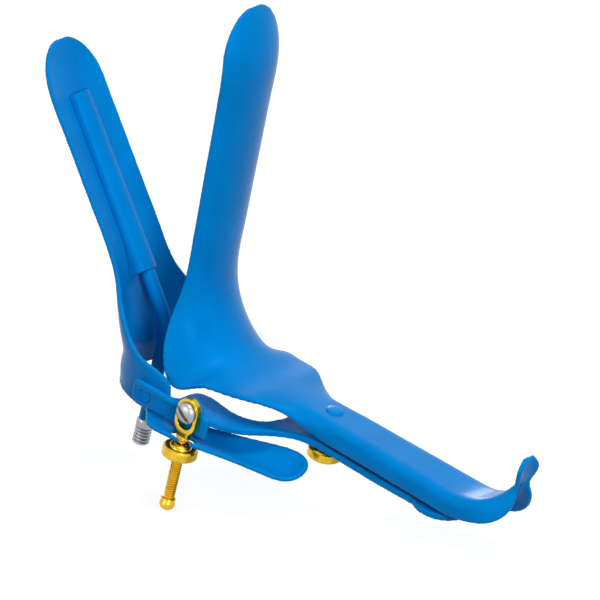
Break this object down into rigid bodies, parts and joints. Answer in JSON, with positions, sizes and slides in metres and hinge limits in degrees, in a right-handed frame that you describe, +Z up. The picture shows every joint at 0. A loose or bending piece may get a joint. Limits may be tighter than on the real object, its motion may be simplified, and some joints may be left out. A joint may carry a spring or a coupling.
{
  "type": "bivalve speculum",
  "caption": "Two-bladed speculum with a fixed blade on a hooked handle, a hinged blade with thumb lever, locking nuts and a smoke tube.",
  "frame": {"origin": "middle of the bounding box, at the surface that the upright instrument stands on", "axes": "+Z up along the blades with the handle sloping down 17 degrees, +X towards the hooked end of the handle, +Y away from the thumb lever"},
  "size_m": [0.1794, 0.0584, 0.1561],
  "materials": {
    "blue_coating": "glossy insulating coating on formed stainless sheet",
    "gold_plating": "polished gold-coloured plating",
    "stainless_steel": "satin turned stainless steel"
  },
  "bodies": {
    "handle_frame": {"lower_blade": "blue_coating", "clamp_stud": "gold_plating"},
    "yoke_frame": {"yoke": "blue_coating", "hinge_rivet_near": "blue_coating", "hinge_rivet_far": "blue_coating", "pivot_screw": "stainless_steel"},
    "moving_blade": {"upper_blade": "blue_coating", "smoke_channel": "blue_coating", "smoke_pipe": "blue_coating", "smoke_port": "stainless_steel"},
    "locking_rod": {"lever_rod": "gold_plating", "rod_stop": "gold_plating"},
    "lever_seat": {"lever_nut_washer": "gold_plating"},
    "lever_knob": {"lever_nut": "gold_plating"},
    "clamp_seat": {"clamp_nut_washer": "gold_plating"},
    "clamp_knob": {"clamp_nut": "gold_plating"}
  },
  "joints": [
    {"name": "height_slide", "type": "slide", "parent": "handle_frame", "child": "yoke_frame", "axis": [0.9563, 0, -0.2924], "range_m": [-0.025, 0.001]},
    {"name": "blade_pivot", "type": "hinge", "parent": "yoke_frame", "child": "moving_blade", "pos_m": [-0.03885, 0.00339, 0.03445], "axis": [0, -1, 0], "range_deg": [-38.5, 3]},
    {"name": "rod_swing", "type": "hinge", "parent": "yoke_frame", "child": "locking_rod", "pos_m": [-0.02056, -0.02371, 0.03304], "axis": [0, -1, 0], "range_deg": [-19.5, 1.6]},
    {"name": "lever_nut_travel", "type": "slide", "parent": "locking_rod", "child": "lever_seat", "axis": [0.2924, 0, 0.9563], "range_m": [-0.01251, 0.001]},
    {"name": "lever_nut_spin", "type": "hinge", "parent": "lever_seat", "child": "lever_knob", "pos_m": [-0.02507, -0.02371, 0.01832], "axis": [0.2924, 0, 0.9563], "range_deg": [-5628.7, 452]},
    {"name": "clamp_nut_travel", "type": "slide", "parent": "handle_frame", "child": "clamp_seat", "axis": [-0.2924, 0, -0.9563], "range_m": [0, 0.0016]},
    {"name": "clamp_nut_spin", "type": "hinge", "parent": "clamp_seat", "child": "clamp_knob", "pos_m": [0.01028, 0.00339, 0.01901], "axis": [-0.2924, 0, -0.9563], "range_deg": [-2, 722]}
  ],
  "couplings": [
    {"joint": "rod_swing", "follows": "blade_pivot", "ratio": 0.5},
    {"joint": "lever_nut_travel", "follows": "blade_pivot", "m_per_rad": 0.01857},
    {"joint": "lever_nut_spin", "follows": "blade_pivot", "ratio": 145.82},
    {"joint": "clamp_nut_spin", "follows": "clamp_nut_travel", "rad_per_m": 7854}
  ]
}
